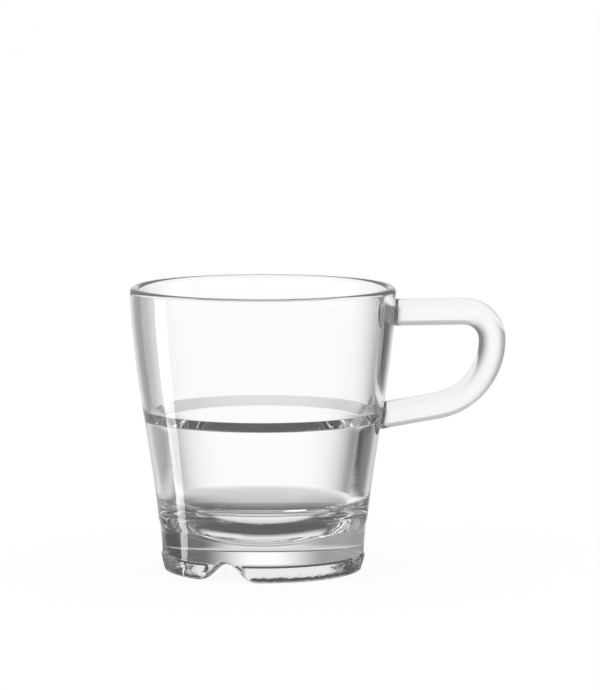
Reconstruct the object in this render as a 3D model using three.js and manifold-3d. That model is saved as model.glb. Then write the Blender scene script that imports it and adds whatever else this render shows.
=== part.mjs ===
// A clear glass espresso cup, in millimetres, standing on z = 0 with its handle along +X:
// a pressed body with a stacking ledge and a notched foot, and a bent rod fused to it on two pads.
import * as THREE from 'three';
import { mergeVertices } from 'three/addons/utils/BufferGeometryUtils.js';
import Module from 'manifold-3d';

const wasm = await Module();
wasm.setup();

// Outside of the body, whose radius grows from foot to rim along one cubic curve
const CUP_HEIGHT = 64;
const RIM_RADIUS = 30;
const FOOT_RADIUS = 22.8;
const FOOT_SLOPE = 0.035;
const RIM_SLOPE = 0.03;

// Wall, stacking ledge and bowl-shaped floor
const RIM_THICKNESS = 2.1;
const UPPER_WALL = 2.2;
const LEDGE_TOP = 36.4;
const LEDGE_DROP = 2.2;
const LEDGE_WIDTH = 2.8;
const LEDGE_FILLET = 0.5;
const LEDGE_ROUND = 0.7;
const BOWL_WALL = 4.5;
const BOWL_HEIGHT = 17;
const BOWL_CORNER_DROP = 5.5;
const BOWL_CORNER_INSET = 1.1;
const BOWL_FLAT_RADIUS = 12;
const FLOOR_THICKNESS = 2.9;

// Waist: a shallow groove round the body above its foot
const GROOVE_DEPTH = 0.25;
const GROOVE_TOP = 11.5;
const GROOVE_SLOPE_HEIGHT = 1.2;

// Foot: a thin ring round a recess, with a raised band outside it that leans in towards the table
const RECESS_DEPTH = 3.85;
const RECESS_FILLET = 0.5;
const RING_WIDTH = 1.6;
const RING_TAPER = 0.7;
const RING_ROUND = 0.3;
const BAND_HEIGHT = 3.5;
const BAND_STEP = 0.4;
const BAND_RELIEF = 0.35;
const BAND_TAPER = 0.75;
const FOOT_ROUND = 0.6;

// Wave-shaped notches through the foot ring, the first of them under the handle
const NOTCH_COUNT = 3;
const NOTCH_HEIGHT = 4.5;
const NOTCH_WIDTH = 17;
const NOTCH_FOOT_SWEEP = 4.2;
const NOTCH_CREST_SWEEP = 2;
const NOTCH_LIP = 0.12;
const CUT_MARGIN = 2;

// Handle: a round rod whose centre line has two straight limbs and two bends, and its pads
const ROD_DIAMETER = 6.1;
const HANDLE_REACH = 52.5;
const UPPER_LIMB_BELOW_RIM = 6.3;
const TOP_BEND_RADIUS = 6.6;
const LOWER_BEND_RADIUS = 15;
const LOWER_LIMB_TILT = THREE.MathUtils.degToRad(9);
const PAD_THICKNESS = 0.6;
const PAD_FLARE = 0.85;
const JOINT_GAP = 0.2;

// Fineness of the faceted solids
const ROUND_STEPS = 60;
const CORNER_STEPS = 4;
const WALL_STEPS = 10;
const BOWL_STEPS = 9;
const WAVE_STEPS = 9;
const ROD_SIDES = 16;
const ROD_STEPS = 56;
const PAD_SIDES = 32;

const rimCentreHeight = CUP_HEIGHT - RIM_THICKNESS / 2;
const floorHeight = RECESS_DEPTH + FLOOR_THICKNESS;
const ringInnerRadius = FOOT_RADIUS - RING_WIDTH;

// Outer radius at a height: a cubic with a given radius and slope at foot and rim
function wallRadius(height) {
  const t = height / rimCentreHeight;
  const rise = t * t * (3 - 2 * t);
  const fromFoot = FOOT_SLOPE * rimCentreHeight * t * (1 - t) ** 2;
  const fromRim = RIM_SLOPE * rimCentreHeight * t * t * (1 - t);
  return FOOT_RADIUS + (RIM_RADIUS - FOOT_RADIUS) * rise + fromFoot - fromRim;
}

// Outer radius in the groove of the waist
function waistRadius(height) {
  return wallRadius(height) - GROOVE_DEPTH;
}

// Inner radius above the ledge, where the wall thickens slightly from rim to ledge
function upperCavityRadius(height) {
  const share = (rimCentreHeight - height) / (rimCentreHeight - LEDGE_TOP);
  return wallRadius(height) - THREE.MathUtils.lerp(RIM_THICKNESS, UPPER_WALL, share);
}

// Goes towards a corner and rounds it off on the way to the next point
function roundCorner(path, corner, next, radius) {
  const back = path.currentPoint.clone().sub(corner).normalize();
  const ahead = next.clone().sub(corner).normalize();
  const reach = radius / Math.tan(back.angleTo(ahead) / 2);
  const start = corner.clone().addScaledVector(back, reach);
  const end = corner.clone().addScaledVector(ahead, reach);
  path.lineTo(start.x, start.y);
  path.quadraticCurveTo(corner.x, corner.y, end.x, end.y);
}

// Follows a wall given as radius by height, in equal steps from the first height to the last
function followWall(path, radiusAt, first, last) {
  for (let step = 0; step <= WALL_STEPS; step += 1) {
    const height = THREE.MathUtils.lerp(first, last, step / WALL_STEPS);
    path.lineTo(radiusAt(height), height);
  }
}

// Underside and outside of the body, from the middle of the recess to the rim
function drawOutside(path) {
  const ringTop = new THREE.Vector2(ringInnerRadius, RECESS_DEPTH);
  const ringFoot = new THREE.Vector2(ringInnerRadius - RING_TAPER, 0);
  const bandTop = new THREE.Vector2(waistRadius(BAND_HEIGHT) + BAND_RELIEF, BAND_HEIGHT);
  const bandFoot = new THREE.Vector2(bandTop.x - BAND_TAPER, 0);
  const waistFoot = BAND_HEIGHT + BAND_STEP;
  const waistHead = GROOVE_TOP - GROOVE_SLOPE_HEIGHT;
  path.moveTo(0, RECESS_DEPTH);
  roundCorner(path, ringTop, ringFoot, RECESS_FILLET);
  roundCorner(path, ringFoot, bandFoot, RING_ROUND);
  roundCorner(path, bandFoot, bandTop, FOOT_ROUND);
  path.lineTo(bandTop.x, bandTop.y);
  path.lineTo(waistRadius(waistFoot), waistFoot);
  path.lineTo(waistRadius(waistHead), waistHead);
  followWall(path, wallRadius, GROOVE_TOP, rimCentreHeight);
}

// Rim and cavity, from the outside of the rim down to the middle of the floor
function drawInside(path) {
  const ledgeOuter = new THREE.Vector2(upperCavityRadius(LEDGE_TOP), LEDGE_TOP);
  const ledgeInner = new THREE.Vector2(ledgeOuter.x - LEDGE_WIDTH, LEDGE_TOP - LEDGE_DROP);
  const bowlEdge = new THREE.Vector2(wallRadius(BOWL_HEIGHT) - BOWL_WALL, BOWL_HEIGHT);
  const bowl = new THREE.CubicBezierCurve(
    bowlEdge,
    new THREE.Vector2(bowlEdge.x - BOWL_CORNER_INSET, BOWL_HEIGHT - BOWL_CORNER_DROP),
    new THREE.Vector2(BOWL_FLAT_RADIUS, floorHeight),
    new THREE.Vector2(0, floorHeight),
  );
  path.absarc(RIM_RADIUS - RIM_THICKNESS / 2, rimCentreHeight, RIM_THICKNESS / 2, 0, Math.PI);
  followWall(path, upperCavityRadius, rimCentreHeight, LEDGE_TOP + LEDGE_FILLET * 2);
  roundCorner(path, ledgeOuter, ledgeInner, LEDGE_FILLET);
  roundCorner(path, ledgeInner, bowlEdge, LEDGE_ROUND);
  for (const point of bowl.getPoints(BOWL_STEPS)) {
    path.lineTo(point.x, point.y);
  }
}

// Turns an outline of radius and height round the Z axis
function turned(points) {
  return new THREE.LatheGeometry(points, ROUND_STEPS).rotateX(Math.PI / 2);
}

// A closed geometry as a solid that can be joined and cut
function solidOf(geometry) {
  const bare = geometry.clone();
  bare.deleteAttribute('normal');
  bare.deleteAttribute('uv');
  const merged = mergeVertices(bare, 1e-4);
  const corners = merged.index.array;
  const triVerts = [];
  for (let i = 0; i < corners.length; i += 3) {
    const [a, b, c] = corners.slice(i, i + 3);
    if (a !== b && b !== c && c !== a) {
      triVerts.push(a, b, c);
    }
  }
  return new wasm.Manifold(new wasm.Mesh({
    numProp: 3,
    vertProperties: new Float32Array(merged.attributes.position.array),
    triVerts: new Uint32Array(triVerts),
  }));
}

// A solid as a geometry with flat faces
function geometryOf(solid) {
  const { vertProperties, triVerts } = solid.getMesh();
  const shared = new THREE.BufferGeometry();
  shared.setAttribute('position', new THREE.BufferAttribute(vertProperties, 3));
  shared.setIndex(new THREE.BufferAttribute(triVerts, 1));
  const flat = shared.toNonIndexed();
  flat.computeVertexNormals();
  return flat;
}

// One notch: a wave wrapped round the ring, its crest falling to the ceiling of the recess
function notchCutter(angle) {
  const side = NOTCH_WIDTH / 2;
  const sweep = side - NOTCH_FOOT_SWEEP;
  const crest = NOTCH_CREST_SWEEP;
  const wave = new THREE.Shape();
  wave.moveTo(-side, -NOTCH_LIP - CUT_MARGIN);
  wave.lineTo(side, -NOTCH_LIP - CUT_MARGIN);
  wave.lineTo(side, -NOTCH_LIP);
  wave.bezierCurveTo(sweep, -NOTCH_LIP, crest, NOTCH_HEIGHT, 0, NOTCH_HEIGHT);
  wave.bezierCurveTo(-crest, NOTCH_HEIGHT, -sweep, -NOTCH_LIP, -side, -NOTCH_LIP);
  const inner = ringInnerRadius - RING_TAPER - CUT_MARGIN;
  const outer = FOOT_RADIUS + BAND_RELIEF + CUT_MARGIN;
  const cutter = new THREE.ExtrudeGeometry(wave, {
    depth: outer - inner,
    bevelEnabled: false,
    curveSegments: WAVE_STEPS,
  });
  const points = cutter.attributes.position;
  for (let i = 0; i < points.count; i += 1) {
    const radius = inner + points.getZ(i);
    const turn = angle + points.getX(i) / FOOT_RADIUS;
    const outward = (radius - ringInnerRadius) / RING_WIDTH;
    const rise = THREE.MathUtils.lerp(RECESS_DEPTH, NOTCH_HEIGHT, outward) / NOTCH_HEIGHT;
    points.setXYZ(i, radius * Math.cos(turn), radius * Math.sin(turn), points.getY(i) * rise);
  }
  return cutter;
}

function cupBody() {
  const profile = new THREE.Path();
  drawOutside(profile);
  drawInside(profile);
  let body = solidOf(turned(profile.getPoints(CORNER_STEPS)));
  for (let notch = 0; notch < NOTCH_COUNT; notch += 1) {
    body = body.subtract(solidOf(notchCutter((2 * Math.PI * notch) / NOTCH_COUNT)));
  }
  return geometryOf(body);
}

// The outside of the body as a plain solid grown by a distance, which cuts the pads and the rod
function wallEnvelope(growth) {
  const outline = new THREE.Path();
  outline.moveTo(0, 0);
  followWall(outline, (height) => wallRadius(height) + growth, 0, CUP_HEIGHT);
  outline.lineTo(0, CUP_HEIGHT);
  return solidOf(turned(outline.getPoints()));
}

// How far the wall leans out at a height
function wallLean(height) {
  return Math.atan2(wallRadius(height + 1) - wallRadius(height - 1), 2);
}

// Where a limb that leaves a given point towards the axis, falling by its tilt, meets the wall
function meetWall(start, tilt) {
  let height = start.y;
  for (let pass = 0; pass < 8; pass += 1) {
    height = start.y - (start.x - wallRadius(height)) * Math.tan(tilt);
  }
  return new THREE.Vector2(wallRadius(height), height);
}

// Places on the centre line of the handle, as radius and height
const upperLimbHeight = CUP_HEIGHT - UPPER_LIMB_BELOW_RIM;
const upperSeat = new THREE.Vector2(wallRadius(upperLimbHeight), upperLimbHeight);
const topBendCentre = new THREE.Vector2(HANDLE_REACH - TOP_BEND_RADIUS, upperLimbHeight - TOP_BEND_RADIUS);
const lowerBendCentre = new THREE.Vector2(HANDLE_REACH - LOWER_BEND_RADIUS, topBendCentre.y);
const lowerBendEnd = LOWER_LIMB_TILT - Math.PI / 2;
const lowerLimbStart = new THREE.Vector2(Math.cos(lowerBendEnd), Math.sin(lowerBendEnd))
  .multiplyScalar(LOWER_BEND_RADIUS)
  .add(lowerBendCentre);
const lowerSeat = meetWall(lowerLimbStart, LOWER_LIMB_TILT);
const rodStart = JOINT_GAP + PAD_THICKNESS + JOINT_GAP;

// A point of a limb at a distance from its seat on the wall
function alongLimb(seat, tilt, distance) {
  return new THREE.Vector2(Math.cos(tilt), Math.sin(tilt)).multiplyScalar(distance).add(seat);
}

// The centre line of the handle in its own plane, drawn as a flat path of radius and height
class HandleLine extends THREE.Curve {
  constructor() {
    super();
    this.flat = new THREE.Path();
    this.flat.moveTo(upperSeat.x, upperSeat.y);
    this.flat.lineTo(topBendCentre.x, upperLimbHeight);
    this.flat.absarc(topBendCentre.x, topBendCentre.y, TOP_BEND_RADIUS, Math.PI / 2, 0, true);
    this.flat.absarc(lowerBendCentre.x, lowerBendCentre.y, LOWER_BEND_RADIUS, 0, lowerBendEnd, true);
    this.flat.lineTo(lowerSeat.x, lowerSeat.y);
  }

  getPoint(t, target = new THREE.Vector3()) {
    const point = this.flat.getPoint(t);
    return target.set(point.x, 0, point.y);
  }
}

// The bent rod, whose ends are cut to the curve of the wall and leave room for the pads
function handleRod() {
  const section = new THREE.Shape();
  section.absarc(0, 0, ROD_DIAMETER / 2, 0, 2 * Math.PI);
  const rod = new THREE.ExtrudeGeometry(section, {
    extrudePath: new HandleLine(),
    steps: ROD_STEPS,
    curveSegments: ROD_SIDES / 2,
  });
  return geometryOf(solidOf(rod).subtract(wallEnvelope(rodStart)));
}

// A pad is a layer of even thickness on the wall, cut from a cone that flares towards the wall
function handlePad(seat, tilt) {
  const slope = PAD_FLARE / PAD_THICKNESS;
  const apex = ROD_DIAMETER / 2 / slope;
  const sunk = PAD_THICKNESS + PAD_FLARE;
  const rodEnd = alongLimb(seat, tilt, JOINT_GAP + PAD_THICKNESS);
  const cone = new THREE.ConeGeometry(slope * (apex + sunk), apex + sunk, PAD_SIDES)
    .rotateZ(-Math.PI / 2)
    .translate((apex - sunk) / 2, 0, 0)
    .rotateY(wallLean(seat.y))
    .translate(rodEnd.x, 0, rodEnd.y);
  const layer = wallEnvelope(JOINT_GAP + PAD_THICKNESS).subtract(wallEnvelope(JOINT_GAP));
  return geometryOf(solidOf(cone).intersect(layer));
}

// Clear glass, with the shade that each piece shows from the side
function glass(color) {
  return new THREE.MeshStandardMaterial({ color, roughness: 0.05, metalness: 0 });
}

function piece(name, geometry, color) {
  const mesh = new THREE.Mesh(geometry, glass(color));
  mesh.name = name;
  return mesh;
}

const cup = new THREE.Group();
cup.name = 'espresso_cup';
cup.add(piece('cup_body', cupBody(), 0xdde5e6));
cup.add(piece('handle', handleRod(), 0xe8eeee));
cup.add(piece('upper_handle_pad', handlePad(upperSeat, 0), 0xc3cbcc));
cup.add(piece('lower_handle_pad', handlePad(lowerSeat, LOWER_LIMB_TILT), 0xc3cbcc));

// The origin is below the middle of the whole cup, handle included
const footprint = new THREE.Box3().setFromObject(cup);
cup.position.x = -(footprint.min.x + footprint.max.x) / 2;

export default cup;
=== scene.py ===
# A clear glass espresso cup: smooth glass in place of the faceted solids, on a white floor,
# in soft studio light, seen through a long lens.
from math import cos, pi, radians, sin, sqrt, tan

import bmesh
import bpy
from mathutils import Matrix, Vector

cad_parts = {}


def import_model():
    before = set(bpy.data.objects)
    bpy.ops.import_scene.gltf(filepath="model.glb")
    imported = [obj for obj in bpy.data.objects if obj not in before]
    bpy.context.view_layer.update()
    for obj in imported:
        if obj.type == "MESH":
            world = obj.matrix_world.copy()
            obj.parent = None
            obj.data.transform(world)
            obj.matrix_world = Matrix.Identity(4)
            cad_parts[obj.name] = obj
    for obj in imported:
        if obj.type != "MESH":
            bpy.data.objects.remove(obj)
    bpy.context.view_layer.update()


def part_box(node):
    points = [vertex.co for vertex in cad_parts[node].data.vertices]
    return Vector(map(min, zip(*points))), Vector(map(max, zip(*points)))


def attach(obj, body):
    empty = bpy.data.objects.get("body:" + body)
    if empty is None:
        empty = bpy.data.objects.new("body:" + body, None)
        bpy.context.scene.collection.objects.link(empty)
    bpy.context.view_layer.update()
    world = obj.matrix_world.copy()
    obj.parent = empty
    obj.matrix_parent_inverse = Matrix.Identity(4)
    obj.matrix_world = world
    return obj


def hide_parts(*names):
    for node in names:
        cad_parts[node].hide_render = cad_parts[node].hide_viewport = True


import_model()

MM = 0.001
WHITE = (1, 1, 1, 1)

# Sizes of the cup in millimetres, the same as in the solids
CUP_HEIGHT = 64
RIM_RADIUS = 30
FOOT_RADIUS = 22.8
FOOT_SLOPE = 0.035
RIM_SLOPE = 0.03
RIM_THICKNESS = 2.1
UPPER_WALL = 2.2
LEDGE_TOP = 36.4
LEDGE_DROP = 2.2
LEDGE_WIDTH = 2.8
LEDGE_FILLET = 0.5
LEDGE_ROUND = 0.7
BOWL_WALL = 4.5
BOWL_HEIGHT = 17
BOWL_CORNER_DROP = 5.5
BOWL_CORNER_INSET = 1.1
BOWL_FLAT_RADIUS = 12
FLOOR_THICKNESS = 2.9
BAND_HEIGHT = 3.5
BAND_RELIEF = 0.35
BAND_STEP = 0.4
BAND_TAPER = 0.75
FOOT_ROUND = 0.6
GROOVE_DEPTH = 0.25
GROOVE_TOP = 11.5
GROOVE_SLOPE_HEIGHT = 1.2
RING_WIDTH = 1.6
RING_TAPER = 0.7
RING_ROUND = 0.3
RECESS_DEPTH = 3.85
RECESS_FILLET = 0.5
NOTCH_COUNT = 3
NOTCH_HEIGHT = 4.5
NOTCH_WIDTH = 17
ROD_RADIUS = 3.05
HANDLE_REACH = 52.5
UPPER_LIMB_BELOW_RIM = 6.3
TOP_BEND_RADIUS = 6.6
LOWER_BEND_RADIUS = 15
LOWER_LIMB_TILT = radians(9)
PAD_FLARE = 0.85

# The waves of the notches and the gaps between the raised bands, smoother than in the solids.
# Outside, a notch fades out over a height plus a share of its own lift.
NOTCH_SHARPNESS = 1.6
NOTCH_FADE = 1.2
NOTCH_FADE_SHARE = 1.6
BAND_GAP = 4.3

# Small rounds above the raised bands and at the head of the groove, with the room left for them
BAND_TOP_ROUND = 0.08
BAND_TOP_ROOM = 0.15
BAND_CREASE_ROUND = 0.1
GROOVE_ROUND = 0.5
GROOVE_ROOM = 0.3

# Heights in the groove at which its direction is taken for those rounds
GROOVE_LOW = 5
GROOVE_HIGH = 9

# The joints of the handle, closed up as fused glass, and the start of its straight limbs
PAD_THICKNESS = 0.75
JOINT_GAP = 0.06
FUSED_DEPTH = 0.04
LIMB_CLEAR = 2

# Fineness of the smooth glass: points round it, and steps along its stretches
AROUND = 336
BAND_END_STEPS = 4
BAND_END_PARTS = 6
CENTRE_RADIUS = 0.6
RECESS_STEPS = 6
RING_STEPS = 6
CORNER_STEPS = 8
BAND_FACE_STEPS = 8
BAND_TOP_STEPS = 4
BAND_CREASE_STEPS = 3
GROOVE_STEPS = 14
GROOVE_HEAD_STEPS = 4
OUTER_WALL_STEPS = 44
RIM_STEPS = 20
UPPER_CAVITY_STEPS = 28
LOWER_CAVITY_STEPS = 14
BOWL_STEPS = 48
ROD_AROUND = 48
LIMB_STEPS = 16
TOP_BEND_STEPS = 32
LOWER_BEND_STEPS = 48
FLARE_STEPS = 10
END_SHARES = (0.3, 0.6, 0.9)
APPROACHES = 8

# Glass: how much it bends light, how clear the rod is, and how it reflects
GLASS_BEND = 1.51
ROD_BEND = 1.25
ROD_CLARITY = 0.9
HALF_REFLECTION = (0.5, 0.5, 0.5, 1)
MOST_ROUGHNESS = 0.02

# Ripples: their width, height and depth in millimetres, and the noted value that limits them
PRESSED_RIPPLES = ((9, 9, 0.01, None), (14, 1.6, 0.005, None), (1.2, 1.2, 0.06, "face"))
ROD_RIPPLES = ((12, 12, 0.01, None), (4, 4, 0.002, None))

# Brightness of the painted shade on dark edges, and the share of the rod's radius from which a pad is
# painted darker
EDGE_SHADE = 0.3
PAD_EDGE_START = 0.8

# Rays that have bounced this many times inside the glass make it give off a painted glow of soft grey
STRAY_BOUNCES = 12
BOUNCE_MARGIN = 0.5
PAINTED_STRAY_GLOW = 0.17
MOST_BOUNCES = 24
MOST_REFLECTIONS = 12

# Camera: the handle points a little away from it. Lengths are in millimetres.
CAMERA_TURN = radians(-97.5)
CAMERA_DISTANCE = 950
CAMERA_HEIGHT = 157
AIM_RIGHT = 8.34
AIM_HEIGHT = 50.7
FOCAL_PIXELS = 4240
IMAGE_WIDTH = 600
SENSOR_WIDTH = 36
NEAREST = 10

# Key lamp: its turn from the camera, and its place, size and aim in metres
KEY_TURN = radians(-60)
KEY_DISTANCE = 1.2
KEY_HEIGHT = 1.2
KEY_SIZE = 0.8
KEY_AIM_HEIGHT = 0.03
KEY_POWER = 3

# Brightness of the studio in the glass, at degrees from the back, positive to the right
STUDIO_SIDES = ((-180, 0.2), (-110, 0.18), (-65, 0.37), (-27, 0.35), (-3, 1), (3, 1), (27, 0.15),
                (40, 0.13), (48, 0.05), (60, 0.05), (75, 0.3), (90, 0.15), (180, 0.2))
# The most of it, at heights from straight down, -1, to straight up, 1
STUDIO_HEIGHTS = ((-1, 1), (0.18, 1), (0.25, 0.58), (0.5, 0.46), (1, 0.46))

# Light overhead, and the heights between which it comes in
OVERHEAD_LIGHT = 0.8
OVERHEAD_HEIGHTS = (0.82, 0.92)

# Light from the far floor: where it is seen steeply, which starts higher on the left,
# and below the horizon beside and before the cup
FAR_FLOOR_LIGHT = 0.95
STEEP_HEIGHTS = (-0.31, -0.22)
STEEP_LEFT_RISE = 0.012
STEEP_TURNS = (-10, 10)
BESIDE_TURNS = (72, 85)
HORIZON_HEIGHTS = (-0.02, 0.04)

# Brightness of the painted shadow on the near floor in the glass, at metres from the cup's axis
PAINTED_SHADOW_RINGS = ((0.022, 0.1), (0.06, 0.64), (0.08, 0.68))
# Behind the axis this painted shadow is drawn out to the left
DRAWN_OUT_BACK = (0.005, 0.03)
DRAWN_OUT_SHARE = 0.35
# The near floor ends in an oval, narrower across than deep
NEAR_NARROWING = 2
NEAR_BACK = 0.01
NEAR_END = (0.06, 0.1)

# A painted pool of light, an oval on the floor below the bowl
SPOT_NARROWING = 0.8
SPOT_BACK = 0.003
SPOT_END = (0.0115, 0.0165)
SPOT_LIGHT = 0.85

# A glowing wedge of floor on the left, which only reflections show, a painted reflection: the slope of its
# middle line, how far left that line is level with the cup's axis, how the wedge widens, and where its tip
# is
STRIP_SLOPE = 0.171
STRIP_CROSSING = 0.096
STRIP_WIDENING = 0.14
STRIP_TIP = 0.018
STRIP_LIGHT = 8

# The floor, and the share of plain white in it for the camera, which leaves a faint shadow
FLOOR_RADIUS = 4
FLOOR_CORNERS = 96
FLOOR_PAINT = (0.95, 0.95, 0.95, 1)
FLOOR_WHITENESS = 0.92

rim_centre_height = CUP_HEIGHT - RIM_THICKNESS / 2
floor_height = RECESS_DEPTH + FLOOR_THICKNESS
ring_inner_radius = FOOT_RADIUS - RING_WIDTH
upper_limb_height = CUP_HEIGHT - UPPER_LIMB_BELOW_RIM
body_low, body_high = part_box("cup_body")
axis_x = (body_low.x + body_high.x) / 2


def clamp(value):
    return min(max(value, 0.0), 1.0)


def mix(first, last, share):
    return first + (last - first) * share


def smooth_step(start, end, value):
    share = clamp((value - start) / (end - start))
    return share * share * (3 - 2 * share)


# Outer radius at a height: a cubic with a given radius and slope at foot and rim
def wall_radius(height):
    t = height / rim_centre_height
    rise = t * t * (3 - 2 * t)
    from_foot = FOOT_SLOPE * rim_centre_height * t * (1 - t) ** 2
    from_rim = RIM_SLOPE * rim_centre_height * t * t * (1 - t)
    return FOOT_RADIUS + (RIM_RADIUS - FOOT_RADIUS) * rise + from_foot - from_rim


# Outer radius in the groove above the feet, carried on to the floor
def groove_radius(height):
    return wall_radius(height) - GROOVE_DEPTH


def upper_cavity_radius(height):
    share = (rim_centre_height - height) / (rim_centre_height - LEDGE_TOP)
    return wall_radius(height) - mix(RIM_THICKNESS, UPPER_WALL, share)


# Points of a straight stretch, without its last point
def straight(start, end, steps):
    shares = [i / steps for i in range(steps)]
    return [(mix(start[0], end[0], share), mix(start[1], end[1], share)) for share in shares]


# Points of a rounded corner between two straight stretches
def corner(before, at, after, radius, steps):
    back = (Vector(before) - Vector(at)).normalized()
    ahead = (Vector(after) - Vector(at)).normalized()
    reach = radius / tan(back.angle(ahead) / 2)
    start = Vector(at) + back * reach
    end = Vector(at) + ahead * reach
    points = []
    for i in range(steps + 1):
        t = i / steps
        point = start * (1 - t) ** 2 + Vector(at) * (2 * t * (1 - t)) + end * t * t
        points.append((point.x, point.y))
    return points


# Points along a surface whose radius depends on the height
def follow_wall(radius_at, first, last, steps):
    heights = [mix(first, last, i / steps) for i in range(steps + 1)]
    return [(radius_at(height), height) for height in heights]


# Points of a cubic curve with four control points, without its two ends
def cubic_curve(controls, steps):
    points = []
    for i in range(1, steps):
        t = i / steps
        weights = ((1 - t) ** 3, 3 * t * (1 - t) ** 2, 3 * t * t * (1 - t), t ** 3)
        pairs = list(zip(weights, controls))
        points.append(tuple(sum(weight * point[k] for weight, point in pairs) for k in (0, 1)))
    return points


# Underside and outside as radius and height, from the recess to the outside of the rim
def outside_profile():
    middle = (CENTRE_RADIUS, RECESS_DEPTH)
    ring_inside = (ring_inner_radius, RECESS_DEPTH)
    ring_foot = (ring_inner_radius - RING_TAPER, 0)
    band_top = (groove_radius(BAND_HEIGHT) + BAND_RELIEF, BAND_HEIGHT)
    band_foot = (band_top[0] - BAND_TAPER, 0)
    band_edge = (groove_radius(BAND_HEIGHT + BAND_STEP), BAND_HEIGHT + BAND_STEP)
    groove_low = (groove_radius(GROOVE_LOW), GROOVE_LOW)
    groove_high = (groove_radius(GROOVE_HIGH), GROOVE_HIGH)
    head_height = GROOVE_TOP - GROOVE_SLOPE_HEIGHT
    groove_head = (groove_radius(head_height), head_height)
    groove_end = (wall_radius(GROOVE_TOP), GROOVE_TOP)
    points = straight(middle, (ring_inner_radius - RECESS_FILLET, RECESS_DEPTH), RECESS_STEPS)
    points += corner(middle, ring_inside, ring_foot, RECESS_FILLET, CORNER_STEPS)
    points += corner(ring_inside, ring_foot, band_foot, RING_ROUND, RING_STEPS)
    points += straight(points[-1], (band_foot[0] - FOOT_ROUND, 0), RING_STEPS)[1:]
    points += corner(ring_foot, band_foot, band_top, FOOT_ROUND, CORNER_STEPS)
    points += straight(points[-1], (band_top[0], BAND_HEIGHT - BAND_TOP_ROOM), BAND_FACE_STEPS)[1:]
    points += corner(band_foot, band_top, band_edge, BAND_TOP_ROUND, BAND_TOP_STEPS)
    points += corner(band_top, band_edge, groove_low, BAND_CREASE_ROUND, BAND_CREASE_STEPS)
    points += follow_wall(groove_radius, BAND_HEIGHT + 2 * BAND_STEP, head_height - GROOVE_ROOM,
                          GROOVE_STEPS)
    points += corner(groove_high, groove_head, groove_end, GROOVE_ROUND, GROOVE_HEAD_STEPS)
    points += follow_wall(wall_radius, GROOVE_TOP, rim_centre_height, OUTER_WALL_STEPS)
    return points


# Rim and cavity as radius and height, from the rim down to the middle of the floor
def inside_profile():
    above_ledge = LEDGE_TOP + 2 * LEDGE_FILLET
    cavity_end = (upper_cavity_radius(above_ledge), above_ledge)
    ledge_outer = (upper_cavity_radius(LEDGE_TOP), LEDGE_TOP)
    ledge_inner = (ledge_outer[0] - LEDGE_WIDTH, LEDGE_TOP - LEDGE_DROP)
    bowl_edge = (wall_radius(BOWL_HEIGHT) - BOWL_WALL, BOWL_HEIGHT)
    bowl_corner = (bowl_edge[0] - BOWL_CORNER_INSET, BOWL_HEIGHT - BOWL_CORNER_DROP)
    bowl_flat = (BOWL_FLAT_RADIUS, floor_height)
    points = []
    for i in range(1, RIM_STEPS):
        angle = pi * i / RIM_STEPS
        points.append((RIM_RADIUS - RIM_THICKNESS / 2 * (1 - cos(angle)),
                       rim_centre_height + RIM_THICKNESS / 2 * sin(angle)))
    points += follow_wall(upper_cavity_radius, rim_centre_height, above_ledge, UPPER_CAVITY_STEPS)
    points += corner(cavity_end, ledge_outer, ledge_inner, LEDGE_FILLET, CORNER_STEPS)
    points += corner(ledge_outer, ledge_inner, bowl_edge, LEDGE_ROUND, CORNER_STEPS)
    points += straight(points[-1], bowl_edge, LOWER_CAVITY_STEPS)[1:]
    points.append(bowl_edge)
    points += cubic_curve((bowl_edge, bowl_corner, bowl_flat, (0, floor_height)), BOWL_STEPS)
    return points


# Share of a notch's height at a distance from its middle
def notch_share(across):
    if across > NOTCH_WIDTH / 2:
        return 0.0
    return (0.5 + 0.5 * cos(2 * pi * across / NOTCH_WIDTH)) ** NOTCH_SHARPNESS


# Distance round the foot from the middle of the nearest notch
def from_notch(angle):
    pitch = 2 * pi / NOTCH_COUNT
    return FOOT_RADIUS * abs((angle + pitch / 2) % pitch - pitch / 2)


# A point of the outside, lifted by the notches and set back between the raised bands of the feet
def foot_point(radius, height, angle, side):
    across = from_notch(angle)
    out = clamp((radius - ring_inner_radius + RING_TAPER) / RING_WIDTH)
    lift = mix(RECESS_DEPTH, NOTCH_HEIGHT, out) * notch_share(across)
    reach = mix(RECESS_DEPTH, NOTCH_FADE + NOTCH_FADE_SHARE * lift, side)
    lifted = height + lift * max(0.0, 1 - height / reach)
    if side < 1:
        return radius, lifted
    proud = radius - groove_radius(height)
    if proud > 0:
        proud *= smooth_step(BAND_GAP - BAND_STEP / 2, BAND_GAP + BAND_STEP / 2, across)
    return groove_radius(lifted) + proud, lifted


# A closed skin over rings of points, with a fan over each end
def skin(name, rings, material):
    mesh = bmesh.new()
    corners = [[mesh.verts.new(point) for point in ring] for ring in rings]
    count = len(rings[0])
    for near, far in zip(corners, corners[1:]):
        for i in range(count):
            j = (i + 1) % count
            mesh.faces.new((near[i], near[j], far[j], far[i]))
    for ring in (corners[0], corners[-1]):
        middle = mesh.verts.new(sum((vertex.co for vertex in ring), Vector()) / count)
        for i in range(count):
            mesh.faces.new((ring[i], ring[(i + 1) % count], middle))
    bmesh.ops.recalc_face_normals(mesh, faces=mesh.faces)
    data = bpy.data.meshes.new(name)
    mesh.to_mesh(data)
    mesh.free()
    data.shade_smooth()
    data.materials.append(material)
    piece = bpy.data.objects.new(name, data)
    bpy.context.collection.objects.link(piece)
    return piece


# Notes a value for each point of a skin's rings
def note(piece, name, values):
    attribute = piece.data.attributes.new(name, "FLOAT", "POINT")
    for point, value in zip(attribute.data, values):
        point.value = value


# A point given in millimetres from the cup's axis
def place(radius, across, height):
    return Vector((axis_x + radius * MM, across * MM, height * MM))


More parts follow.
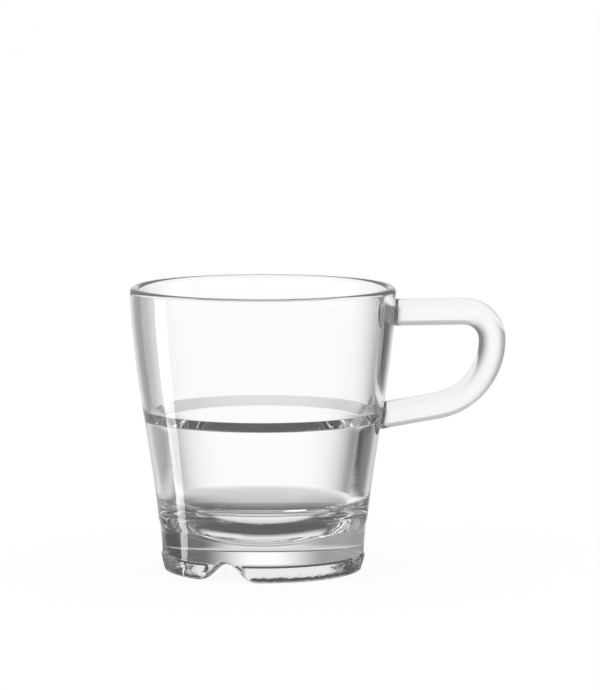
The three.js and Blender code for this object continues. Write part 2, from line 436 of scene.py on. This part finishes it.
# Angles round the body, closer together at the ends of the raised bands
def body_angles():
    angles = [2 * pi * i / AROUND for i in range(AROUND)]
    for notch in range(NOTCH_COUNT):
        for end in (-BAND_GAP, BAND_GAP):
            for step in range(-BAND_END_STEPS, BAND_END_STEPS + 1):
                across = end + step * BAND_STEP / BAND_END_PARTS
                angles.append((2 * pi * notch / NOTCH_COUNT + across / FOOT_RADIUS) % (2 * pi))
    return sorted(angles)


# The pressed body, with the faces of its raised bands noted, and their edges noted for painted shade
def cup_body(material):
    rings = []
    faces = []
    edges = []
    angles = body_angles()
    outside = outside_profile()
    standing = [index for index, (radius, height) in enumerate(outside) if height == 0]
    for index, (radius, height) in enumerate(outside + inside_profile()):
        is_foot = index < len(outside) and height < GROOVE_TOP
        side = clamp((index - standing[0]) / (standing[-1] - standing[0]))
        is_face = is_foot and side == 1 and height < BAND_HEIGHT
        at_floor = height < FOOT_ROUND / 2
        ring = []
        for angle in angles:
            point_radius, point_height = radius, height
            if is_foot:
                point_radius, point_height = foot_point(radius, height, angle, side)
            ring.append(place(point_radius * cos(angle), point_radius * sin(angle), point_height))
            # The ends and the foot of the raised faces are noted for painted shade
            at_end = abs(from_notch(angle) - BAND_GAP) < BAND_STEP
            faces.append(float(is_face))
            edges.append(float(is_face and (at_end or at_floor)))
        rings.append(ring)
    body = skin("cup_body_glass", rings, material)
    note(body, "face", faces)
    note(body, "edge", edges)
    return body


# Where the lower limb, falling by its tilt from its bend, meets the wall
def lower_seat_height(start):
    height = start[1]
    for _ in range(APPROACHES):
        height = start[1] - (start[0] - wall_radius(height)) * tan(LOWER_LIMB_TILT)
    return height


# Centre line of the handle as points with directions, and the seats of its limbs on the wall
def handle_line():
    top_centre = (HANDLE_REACH - TOP_BEND_RADIUS, upper_limb_height - TOP_BEND_RADIUS)
    low_centre = (HANDLE_REACH - LOWER_BEND_RADIUS, top_centre[1])
    low_end = LOWER_LIMB_TILT - pi / 2
    limb_start = (low_centre[0] + LOWER_BEND_RADIUS * cos(low_end),
                  low_centre[1] + LOWER_BEND_RADIUS * sin(low_end))
    seat_height = lower_seat_height(limb_start)
    upper_seat = (wall_radius(upper_limb_height), upper_limb_height)
    lower_seat = (wall_radius(seat_height), seat_height)
    upper_start = (upper_seat[0] + LIMB_CLEAR, upper_limb_height)
    upper_end = (top_centre[0], upper_limb_height)
    lower_end = (lower_seat[0] + LIMB_CLEAR * cos(LOWER_LIMB_TILT),
                 lower_seat[1] + LIMB_CLEAR * sin(LOWER_LIMB_TILT))
    bends = ((top_centre, TOP_BEND_RADIUS, pi / 2, 0.0, TOP_BEND_STEPS),
             (low_centre, LOWER_BEND_RADIUS, 0.0, low_end, LOWER_BEND_STEPS))
    line = [(point, 0.0) for point in straight(upper_start, upper_end, LIMB_STEPS)]
    for centre, bend, first, last, steps in bends:
        for i in range(steps):
            angle = mix(first, last, i / steps)
            point = (centre[0] + bend * cos(angle), centre[1] + bend * sin(angle))
            line.append((point, angle - pi / 2))
    line += [(point, low_end - pi / 2) for point in straight(limb_start, lower_end, LIMB_STEPS)]
    line.append((lower_end, low_end - pi / 2))
    return line, upper_seat, lower_seat


# Distance along a limb from its seat to the wall, for a line beside the limb's middle
def reach_to_wall(seat, tilt, up, across):
    distance = 0.0
    for _ in range(APPROACHES):
        height = seat[1] + up * cos(tilt) + distance * sin(tilt)
        radius = seat[0] - up * sin(tilt) + distance * cos(tilt)
        distance += (sqrt(wall_radius(height) ** 2 - across ** 2) - radius) / cos(tilt)
    return distance


# A point beside a limb's middle, at a distance from the wall along the limb
def limb_point(seat, tilt, up, across, from_wall):
    distance = reach_to_wall(seat, tilt, up, across) + from_wall
    return place(seat[0] + distance * cos(tilt) - up * sin(tilt), across,
                 seat[1] + distance * sin(tilt) + up * cos(tilt))


# Points round a limb's middle, on a surface that follows the wall at a distance from it
def limb_ring(seat, tilt, size, from_wall):
    ring = []
    for i in range(ROD_AROUND):
        angle = 2 * pi * i / ROD_AROUND
        ring.append(limb_point(seat, tilt, size * cos(angle), size * sin(angle), from_wall))
    return ring


# Points round the rod at a point of its centre line
def rod_ring(radius, height, heading):
    ring = []
    for i in range(ROD_AROUND):
        angle = 2 * pi * i / ROD_AROUND
        out = ROD_RADIUS * cos(angle)
        across = ROD_RADIUS * sin(angle)
        ring.append(place(radius - out * sin(heading), across, height + out * cos(heading)))
    return ring


# The bent rod, whose ends follow the wall
def handle_rod(line, upper_seat, lower_seat, material):
    rod_start = PAD_THICKNESS + JOINT_GAP
    half = ROD_AROUND // 2
    rings = []
    for share in (*END_SHARES, 1):
        rings.append(limb_ring(upper_seat, 0.0, ROD_RADIUS * share, rod_start))
    for (radius, height), heading in line:
        rings.append(rod_ring(radius, height, heading))
    for share in (1, *reversed(END_SHARES)):
        end = limb_ring(lower_seat, LOWER_LIMB_TILT, ROD_RADIUS * share, rod_start)
        rings.append([end[(half - i) % ROD_AROUND] for i in range(ROD_AROUND)])
    return skin("handle_rod_glass", rings, material)


# A pad lies on the wall with an even thickness and flares from the rod's end to the wall
def handle_pad(name, seat, tilt, material):
    sections = [(share * ROD_RADIUS, PAD_THICKNESS) for share in END_SHARES]
    for i in range(FLARE_STEPS + 1):
        toward_wall = i / FLARE_STEPS
        flare = PAD_FLARE * (1 - sqrt(1 - toward_wall ** 2))
        sections.append((ROD_RADIUS + flare, mix(PAD_THICKNESS, -FUSED_DEPTH, toward_wall)))
    for share in reversed(END_SHARES):
        sections.append((share * (ROD_RADIUS + PAD_FLARE), -FUSED_DEPTH))
    rings = [limb_ring(seat, tilt, size, from_wall) for size, from_wall in sections]
    pad = skin(name, rings, material)
    # How far out each ring lies is noted, for the painted shade on the pad's edge
    note(pad, "edge", [size / ROD_RADIUS for size, _ in sections for _ in range(ROD_AROUND)])
    return pad


# Adds a node, with a number, a colour or another node's output for each of its inputs
def node(tree, kind, inputs, **settings):
    made = tree.nodes.new(kind)
    for name, value in settings.items():
        setattr(made, name, value)
    for socket, value in inputs.items():
        if isinstance(value, bpy.types.NodeSocket):
            tree.links.new(value, made.inputs[socket])
        else:
            made.inputs[socket].default_value = value
    return made


def calculate(tree, operation, *values):
    return node(tree, "ShaderNodeMath", dict(enumerate(values)), operation=operation).outputs[0]


def mix_shaders(tree, share, first, last):
    return node(tree, "ShaderNodeMixShader", {0: share, 1: first.outputs[0], 2: last.outputs[0]})


# A smooth change from one value to another while a quantity goes through a span
def fade(tree, quantity, span, first, last):
    inputs = {"Value": quantity, "From Min": span[0], "From Max": span[1], "To Min": first, "To Max": last}
    return node(tree, "ShaderNodeMapRange", inputs, interpolation_type="SMOOTHSTEP").outputs[0]


# A value that goes through given values at given stops along a quantity
def ramp(tree, quantity, stops):
    start = stops[0][0]
    end = stops[-1][0]
    share = node(tree, "ShaderNodeMapRange", {"Value": quantity, "From Min": start, "From Max": end})
    made = node(tree, "ShaderNodeValToRGB", {"Fac": share.outputs[0]})
    made.color_ramp.interpolation = "EASE"
    elements = made.color_ramp.elements
    for stop, _ in stops[1:-1]:
        elements.new((stop - start) / (end - start))
    for element, (_, value) in zip(elements, stops):
        element.color = (value, value, value, 1)
    return made.outputs["Color"]


# A value that was noted on the pieces of a material
def noted(tree, name):
    return node(tree, "ShaderNodeAttribute", {}, attribute_name=name).outputs["Fac"]


# Noise with grains of a width and a height
def grains(tree, width, height):
    spot = node(tree, "ShaderNodeTexCoord", {}).outputs["Object"]
    scale = (1 / (width * MM), 1 / (width * MM), 1 / (height * MM))
    scaled = node(tree, "ShaderNodeMapping", {"Vector": spot, "Scale": scale}).outputs[0]
    return node(tree, "ShaderNodeTexNoise", {"Vector": scaled, "Scale": 1, "Detail": 1}).outputs[0]


# Clear glass with ripples in its surface, a polish that varies with the last of them, and a painted grey
# glow
def clear_glass(name, bend, clarity, ripples):
    material = bpy.data.materials.new(name)
    material.use_nodes = True
    tree = material.node_tree
    shader = tree.nodes["Principled BSDF"]
    shader.inputs["Base Color"].default_value = WHITE
    shader.inputs["IOR"].default_value = bend
    shader.inputs["Specular Tint"].default_value = HALF_REFLECTION
    shader.inputs["Transmission Weight"].default_value = clarity
    normal = None
    for width, height, depth, limit in ripples:
        noise = grains(tree, width, height)
        relief = calculate(tree, "MULTIPLY", noise, noted(tree, limit)) if limit else noise
        bump = node(tree, "ShaderNodeBump", {"Height": relief, "Strength": 1, "Distance": depth * MM})
        if normal:
            tree.links.new(normal, bump.inputs["Normal"])
        normal = bump.outputs[0]
    tree.links.new(normal, shader.inputs["Normal"])
    polish = node(tree, "ShaderNodeMapRange", {"Value": noise, "To Min": 0, "To Max": MOST_ROUGHNESS})
    tree.links.new(polish.outputs[0], shader.inputs["Roughness"])
    # Painted glow: the glass itself emits a soft grey where rays have bounced many times inside it
    bounces = node(tree, "ShaderNodeLightPath", {}).outputs["Ray Depth"]
    strayed = calculate(tree, "COMPARE", bounces, STRAY_BOUNCES, BOUNCE_MARGIN)
    glow = calculate(tree, "MULTIPLY", strayed, PAINTED_STRAY_GLOW)
    tree.links.new(glow, shader.inputs["Emission Strength"])
    return material


# Paints shade into a glass's base colour, darker from a noted value of its edges upwards
def paint_edge_shade(material, start):
    tree = material.node_tree
    colour = fade(tree, noted(tree, "edge"), (start, 1), 1, EDGE_SHADE)
    tree.links.new(colour, tree.nodes["Principled BSDF"].inputs["Base Color"])


def look_at(thing, spot, target):
    thing.location = spot
    thing.rotation_euler = (target - spot).to_track_quat("-Z", "Y").to_euler()


def camera():
    data = bpy.data.cameras.new("camera")
    data.sensor_fit = "HORIZONTAL"
    data.sensor_width = SENSOR_WIDTH
    data.lens = SENSOR_WIDTH * FOCAL_PIXELS / IMAGE_WIDTH
    data.clip_start = NEAREST * MM
    viewer = bpy.data.objects.new("camera", data)
    bpy.context.collection.objects.link(viewer)
    axis = Vector((axis_x, 0, 0))
    to_camera = Vector((cos(CAMERA_TURN), sin(CAMERA_TURN), 0))
    to_right = Vector((-to_camera.y, to_camera.x, 0))
    eye = axis + to_camera * CAMERA_DISTANCE * MM + Vector((0, 0, CAMERA_HEIGHT * MM))
    target = axis + to_right * AIM_RIGHT * MM + Vector((0, 0, AIM_HEIGHT * MM))
    look_at(viewer, eye, target)
    bpy.context.scene.camera = viewer


def key_lamp():
    data = bpy.data.lights.new("key", "AREA")
    data.shape = "SQUARE"
    data.size = KEY_SIZE
    data.energy = KEY_POWER
    lamp = bpy.data.objects.new("key", data)
    bpy.context.collection.objects.link(lamp)
    angle = CAMERA_TURN + KEY_TURN
    spot = Vector((axis_x + KEY_DISTANCE * cos(angle), KEY_DISTANCE * sin(angle), KEY_HEIGHT))
    look_at(lamp, spot, Vector((axis_x, 0, KEY_AIM_HEIGHT)))
    lamp.visible_camera = False


# Coordinates to the right, to the back and up, as seen from the camera
def view_axes(tree, output):
    source = node(tree, "ShaderNodeTexCoord", {}).outputs[output]
    rotation = (0, 0, -CAMERA_TURN - pi / 2)
    turned = node(tree, "ShaderNodeMapping", {"Vector": source, "Rotation": rotation}).outputs[0]
    split = node(tree, "ShaderNodeSeparateXYZ", {"Vector": turned})
    return split.outputs[0], split.outputs[1], split.outputs[2]


# One for light that the glass reflects or bends on its way to the camera
def seen_in_glass(tree, path):
    return calculate(tree, "MAXIMUM", path.outputs["Is Glossy Ray"], path.outputs["Is Transmission Ray"])


# The studio: plain white, with darker sides in the glass
def world():
    studio = bpy.data.worlds.new("studio")
    bpy.context.scene.world = studio
    studio.use_nodes = True
    tree = studio.node_tree
    tree.nodes.clear()
    path = node(tree, "ShaderNodeLightPath", {})
    right, back, up = view_axes(tree, "Generated")
    turn = calculate(tree, "DEGREES", calculate(tree, "ARCTAN2", right, back))
    shade = calculate(tree, "MINIMUM", ramp(tree, turn, STUDIO_SIDES), ramp(tree, up, STUDIO_HEIGHTS))
    overhead = fade(tree, up, OVERHEAD_HEIGHTS, 0, OVERHEAD_LIGHT)
    shade = calculate(tree, "MAXIMUM", shade, overhead)
    below = calculate(tree, "ADD", up, fade(tree, turn, STEEP_TURNS, -STEEP_LEFT_RISE, 0))
    shade = fade(tree, below, STEEP_HEIGHTS, FAR_FLOOR_LIGHT, shade)
    beside = fade(tree, calculate(tree, "ABSOLUTE", turn), BESIDE_TURNS, 0, FAR_FLOOR_LIGHT)
    shade = calculate(tree, "MAXIMUM", shade, fade(tree, up, HORIZON_HEIGHTS, beside, 0))
    white = node(tree, "ShaderNodeBackground", {"Color": WHITE, "Strength": 1})
    glass = node(tree, "ShaderNodeBackground", {"Color": shade, "Strength": 1})
    seen = mix_shaders(tree, seen_in_glass(tree, path), white, glass)
    node(tree, "ShaderNodeOutputWorld", {"Surface": seen.outputs[0]})


# Distance from the cup's axis, or from a line behind it, with a factor across
def oval_distance(tree, right, back, narrowing, shift):
    across = calculate(tree, "MULTIPLY", right, narrowing)
    behind = calculate(tree, "SUBTRACT", back, shift)
    squares = calculate(tree, "MULTIPLY_ADD", across, across, calculate(tree, "MULTIPLY", behind, behind))
    return calculate(tree, "SQRT", squares)


# One inside the glowing wedge on the left of the floor, the painted reflection
def inside_strip(tree, right, back):
    left = calculate(tree, "MULTIPLY", right, -1)
    from_crossing = calculate(tree, "SUBTRACT", left, STRIP_CROSSING)
    from_tip = calculate(tree, "SUBTRACT", left, STRIP_TIP)
    middle = calculate(tree, "MULTIPLY", from_crossing, STRIP_SLOPE)
    half_width = calculate(tree, "MULTIPLY", from_tip, STRIP_WIDENING)
    beside = calculate(tree, "ABSOLUTE", calculate(tree, "SUBTRACT", back, middle))
    return calculate(tree, "LESS_THAN", beside, half_width)


# The floor in the glass: painted shadow rings and a painted light oval near the cup, the studio farther
# out, and a glowing wedge that paints a reflection
def floor_in_glass(tree, path):
    right, back, _ = view_axes(tree, "Object")
    drawn_out = calculate(tree, "MULTIPLY", right, fade(tree, back, DRAWN_OUT_BACK, 1, DRAWN_OUT_SHARE))
    aside = calculate(tree, "MAXIMUM", right, drawn_out)
    rings = ramp(tree, oval_distance(tree, aside, back, 1, 0), PAINTED_SHADOW_RINGS)
    from_spot = oval_distance(tree, right, back, SPOT_NARROWING, SPOT_BACK)
    shade = calculate(tree, "MAXIMUM", rings, fade(tree, from_spot, SPOT_END, SPOT_LIGHT, 0))
    # Near the cup the floor glows with this painted shadow and light, for the glass only
    near = node(tree, "ShaderNodeEmission", {"Strength": shade})
    studio = node(tree, "ShaderNodeBsdfTransparent", {})
    reach = oval_distance(tree, aside, back, NEAR_NARROWING, NEAR_BACK)
    around = mix_shaders(tree, fade(tree, reach, NEAR_END, 0, 1), near, studio)
    strip = calculate(tree, "MULTIPLY", inside_strip(tree, right, back), path.outputs["Is Reflection Ray"])
    bright = node(tree, "ShaderNodeEmission", {"Strength": calculate(tree, "MULTIPLY", strip, STRIP_LIGHT)})
    return node(tree, "ShaderNodeAddShader", {0: around.outputs[0], 1: bright.outputs[0]})


# A white floor that keeps a faint shadow of the cup
def floor():
    bpy.ops.mesh.primitive_circle_add(vertices=FLOOR_CORNERS, radius=FLOOR_RADIUS, fill_type="NGON",
                                      location=(axis_x, 0, 0))
    ground = bpy.context.object
    ground.name = "floor"
    material = bpy.data.materials.new("white_floor")
    material.use_nodes = True
    tree = material.node_tree
    tree.nodes.clear()
    path = node(tree, "ShaderNodeLightPath", {})
    paint = node(tree, "ShaderNodeBsdfDiffuse", {"Color": FLOOR_PAINT})
    white = node(tree, "ShaderNodeEmission", {"Color": WHITE})
    whiteness = calculate(tree, "MULTIPLY", path.outputs["Is Camera Ray"], FLOOR_WHITENESS)
    plain = mix_shaders(tree, whiteness, paint, white)
    seen = mix_shaders(tree, seen_in_glass(tree, path), plain, floor_in_glass(tree, path))
    node(tree, "ShaderNodeOutputMaterial", {"Surface": seen.outputs[0]})
    ground.data.materials.append(material)


camera()
pressed = clear_glass("pressed_glass", GLASS_BEND, 1, PRESSED_RIPPLES)
drawn = clear_glass("rod_glass", ROD_BEND, ROD_CLARITY, ROD_RIPPLES)
fused = clear_glass("fused_glass", GLASS_BEND, 1, ROD_RIPPLES)
# Painted shade on the edges of the feet's raised faces and on the pads' rims
paint_edge_shade(pressed, 0)
paint_edge_shade(fused, PAD_EDGE_START)
line, upper_seat, lower_seat = handle_line()
pieces = {
    "cup_body": (cup_body(pressed), "pressed_glass"),
    "handle": (handle_rod(line, upper_seat, lower_seat, drawn), "rod_glass"),
    "upper_handle_pad": (handle_pad("upper_pad_glass", upper_seat, 0.0, fused), "rod_glass"),
    "lower_handle_pad": (handle_pad("lower_pad_glass", lower_seat, LOWER_LIMB_TILT, fused), "rod_glass"),
}
for solid, (piece, slot) in pieces.items():
    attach(piece, "root")
    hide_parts(solid)

world()
floor()
key_lamp()

scene = bpy.context.scene
scene.view_settings.view_transform = "Standard"
scene.cycles.max_bounces = MOST_BOUNCES
scene.cycles.transmission_bounces = MOST_BOUNCES
scene.cycles.glossy_bounces = MOST_REFLECTIONS
